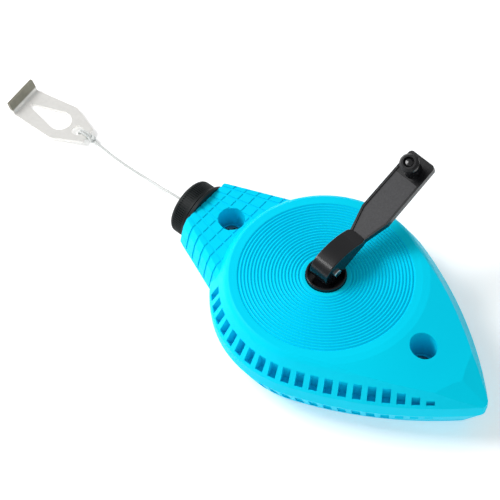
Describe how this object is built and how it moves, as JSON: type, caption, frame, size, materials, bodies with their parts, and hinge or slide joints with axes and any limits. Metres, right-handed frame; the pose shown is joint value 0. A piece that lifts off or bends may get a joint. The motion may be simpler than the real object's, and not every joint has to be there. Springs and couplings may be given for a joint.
{
  "type": "chalk line reel",
  "caption": "Hand chalk line reel: teardrop case with a round nose and pointed tail, threaded spout and cap, folding crank, and a line that ends in a flat steel hook.",
  "frame": {"origin": "on the reel's axis, at the flat back of the case that it lies on", "axes": "+Z along the reel's axis out of the crank side, -X along the line leaving the nose, +X towards the pointed tail"},
  "size_m": [0.211, 0.0857, 0.0537],
  "materials": {
    "case_blue": "satin moulded, slightly glossy",
    "black_plastic": "satin",
    "black_gloss": "glossy, with a satin grey panel on the arm",
    "rubber_black": "matte",
    "rivet_black": "gloss black",
    "steel": "satin",
    "screw_steel": "zinc plated",
    "hook_steel": "satin nickel",
    "felt": "fibrous",
    "line_white": "twisted white line",
    "spool_plastic": "satin",
    "bearing_plastic": "smooth"
  },
  "bodies": {
    "case": {"upper_shell": "case_blue", "lower_shell": "case_blue", "case_screws": "screw_steel", "spout": "black_plastic", "felt_wiper": "felt", "line_lead": "line_white", "free_line": "line_white", "upper_bush": "bearing_plastic", "shaft_seal": "felt", "lower_bush": "bearing_plastic", "thrust_washer": "bearing_plastic"},
    "reel": {"spool": "spool_plastic", "line_winding": "line_white", "crank_hub": "black_gloss", "hub_screw": "screw_steel", "hinge_pin": "steel"},
    "crank": {"crank_arm": "black_gloss", "knob_rivet": "rivet_black"},
    "knob": {"knob": "black_gloss"},
    "cap_slide": {"cap_gasket": "rubber_black"},
    "cap": {"filler_cap": "black_plastic", "line_eyelet": "steel"},
    "hook_end": {"line_hook": "hook_steel", "line_loop": "line_white", "line_knot": "line_white"}
  },
  "joints": [
    {"name": "reel_spin", "type": "hinge", "parent": "case", "child": "reel", "pos_m": [0, 0, 0.0135], "axis": [0, 0, 1], "continuous": true},
    {"name": "crank_fold", "type": "hinge", "parent": "reel", "child": "crank", "pos_m": [0.00009, 0.0012, 0.031], "axis": [0.9971, -0.0758, 0], "range_deg": [-18, 33]},
    {"name": "knob_spin", "type": "hinge", "parent": "crank", "child": "knob", "pos_m": [0.00302, 0.03975, 0.04916], "axis": [-0.0272, -0.3573, 0.9336], "continuous": true},
    {"name": "cap_lift", "type": "slide", "parent": "case", "child": "cap_slide", "axis": [-1, 0, 0], "range_m": [0, 0.004]},
    {"name": "cap_turn", "type": "hinge", "parent": "cap_slide", "child": "cap", "pos_m": [-0.058, 0, 0.0132], "axis": [-1, 0, 0], "range_deg": [0, 720]},
    {"name": "hook_swing", "type": "hinge", "parent": "case", "child": "hook_end", "pos_m": [-0.11095, 0.00585, 0.0016], "axis": [0, 0, 1], "range_deg": [-60, 60]}
  ],
  "couplings": [
    {"joint": "cap_lift", "follows": "cap_turn", "m_per_rad": 0.00031831}
  ]
}
